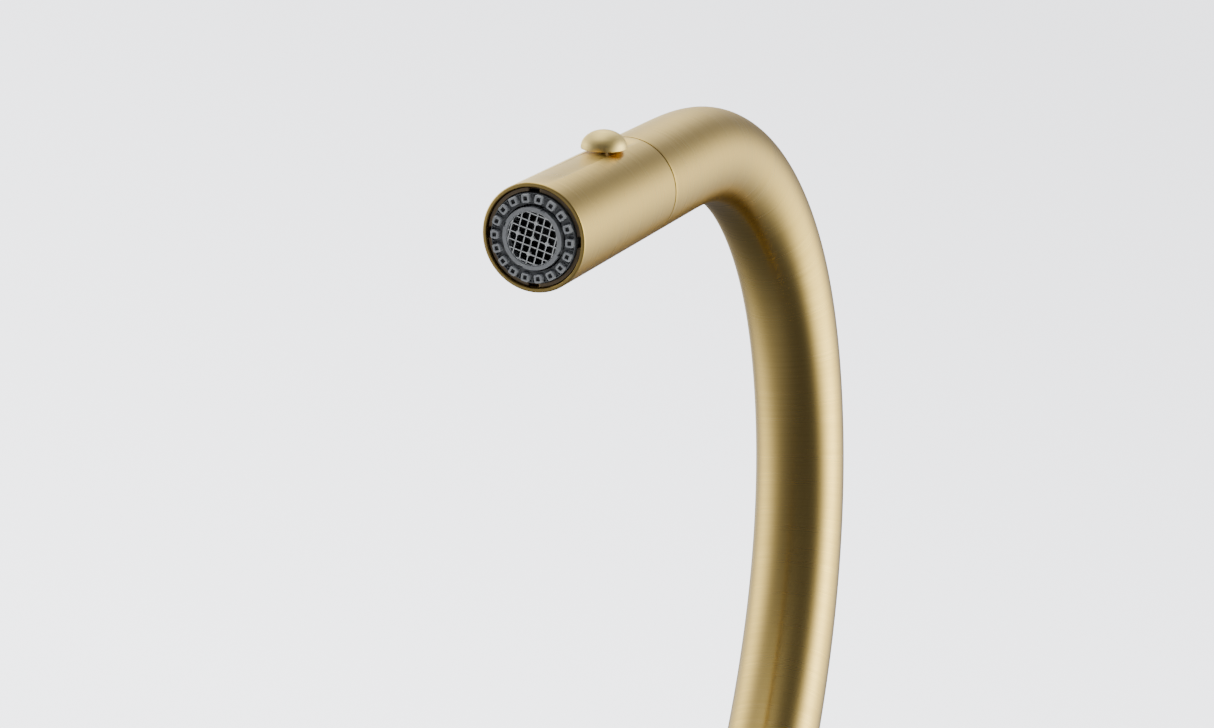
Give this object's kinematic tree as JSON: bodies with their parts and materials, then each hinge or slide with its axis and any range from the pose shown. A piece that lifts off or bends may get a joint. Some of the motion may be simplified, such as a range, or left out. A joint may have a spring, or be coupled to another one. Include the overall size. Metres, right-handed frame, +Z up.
{
  "type": "pull-out single-lever mixer tap",
  "caption": "Brushed-brass swan-neck mixer tap: pull-out spray head with aerated and needle jets, mushroom diverter knob, swivel spout, side ball lever, deck shank.",
  "frame": {"origin": "centre of the deck hole, on the deck's upper surface", "axes": "+Z up along the swivel axis; the spray head points towards -Y; the lever is on +X"},
  "size_m": [0.0917, 0.2569, 0.4745],
  "materials": {
    "brushed_brass": "fine circumferential brushing, satin lacquer",
    "dark_bronze": "dark satin",
    "grey_silicone": "soft matt",
    "grey_plastic": "moulded satin",
    "white_plastic": "moulded satin",
    "black_plastic": "moulded satin",
    "black_rubber": "matt",
    "stainless_steel": "turned",
    "sintered_magnet": "dark coated",
    "ceramic": "lapped",
    "copper": "drawn tube",
    "nylon_braid": "woven nylon over rubber",
    "index_plastic": "satin"
  },
  "bodies": {
    "base": {"body_column": "brushed_brass", "swivel_o_ring": "black_rubber", "lower_glide_ring": "white_plastic", "base_flange": "brushed_brass", "base_gasket": "black_rubber", "threaded_shank": "brushed_brass", "clamp_rubber_washer": "black_rubber", "clamp_steel_washer": "stainless_steel", "clamp_nut": "brushed_brass", "cold_water_tail": "copper", "hot_water_tail": "copper", "mixed_water_tail": "copper", "cartridge_seal": "black_rubber", "cartridge_base": "white_plastic", "fixed_disc": "ceramic", "cartridge_housing": "white_plastic", "cartridge_nut": "brushed_brass", "ball_cover": "brushed_brass"},
    "spout": {"spout_tube": "brushed_brass", "docking_bush": "grey_plastic", "docking_magnet": "sintered_magnet", "spout_sleeve": "brushed_brass", "upper_glide_ring": "white_plastic", "stop_screw": "stainless_steel", "hose_spout_run": "nylon_braid", "hose_end_connector": "brushed_brass"},
    "spray_hose": {"hose_connector": "brushed_brass", "hose_ferrule": "stainless_steel", "hose_front_run": "nylon_braid"},
    "spray_head": {"head_shell": "brushed_brass", "face_retainer": "dark_bronze", "nozzle_ring": "grey_silicone", "nozzle_plate": "grey_plastic", "aerator_frame": "grey_plastic", "aerator_screen": "grey_plastic", "aerator_second_screen": "black_plastic", "aerator_core": "black_plastic", "head_core": "grey_plastic", "docking_collar": "grey_plastic", "collar_keeper_ring": "stainless_steel", "inlet_filter": "white_plastic", "check_valve": "white_plastic", "hose_nut": "brushed_brass", "diverter_guide_bush": "brushed_brass", "stem_o_ring": "black_rubber"},
    "diverter": {"diverter_knob": "brushed_brass", "diverter_stem": "stainless_steel", "diverter_piston": "grey_plastic", "piston_o_ring": "black_rubber", "diverter_spring": "stainless_steel"},
    "temperature_carrier": {"cartridge_rotor": "grey_plastic", "pivot_pin": "stainless_steel"},
    "ceramic_slider": {"moving_disc": "ceramic"},
    "lever": {"cartridge_stem": "stainless_steel", "handle_cup": "brushed_brass", "lever_pin": "brushed_brass", "handle_grub_screw": "stainless_steel", "index_plug": "index_plastic"}
  },
  "joints": [
    {"name": "spout_swivel", "type": "hinge", "parent": "base", "child": "spout", "pos_m": [0, 0, 0.055], "axis": [0, 0, 1], "range_deg": [-60, 60]},
    {"name": "head_pull", "type": "slide", "parent": "spout", "child": "spray_hose", "axis": [0, -0.9563, -0.2924], "range_m": [0, 0.06]},
    {"name": "head_turn", "type": "hinge", "parent": "spray_hose", "child": "spray_head", "pos_m": [0, -0.18312, 0.31405], "axis": [0, -0.9563, -0.2924], "range_deg": [-90, 90]},
    {"name": "diverter_pull", "type": "slide", "parent": "spray_head", "child": "diverter", "axis": [0.1478, -0.2892, 0.9458], "range_m": [0, 0.004], "stiffness_N_per_m": 250, "springref_m": -0.002, "deforming": ["diverter_spring"]},
    {"name": "temperature_turn", "type": "hinge", "parent": "base", "child": "temperature_carrier", "pos_m": [0.038, 0, 0.032], "axis": [1, 0, 0], "range_deg": [-45, 45]},
    {"name": "flow_tilt", "type": "hinge", "parent": "temperature_carrier", "child": "lever", "pos_m": [0.038, 0, 0.032], "axis": [0, 1, 0], "range_deg": [0, 25]},
    {"name": "disc_shift", "type": "slide", "parent": "temperature_carrier", "child": "ceramic_slider", "axis": [0, 0, 1], "range_m": [0, 0.0056]}
  ],
  "couplings": [
    {"joint": "disc_shift", "follows": "flow_tilt", "m_per_rad": 0.0126}
  ]
}
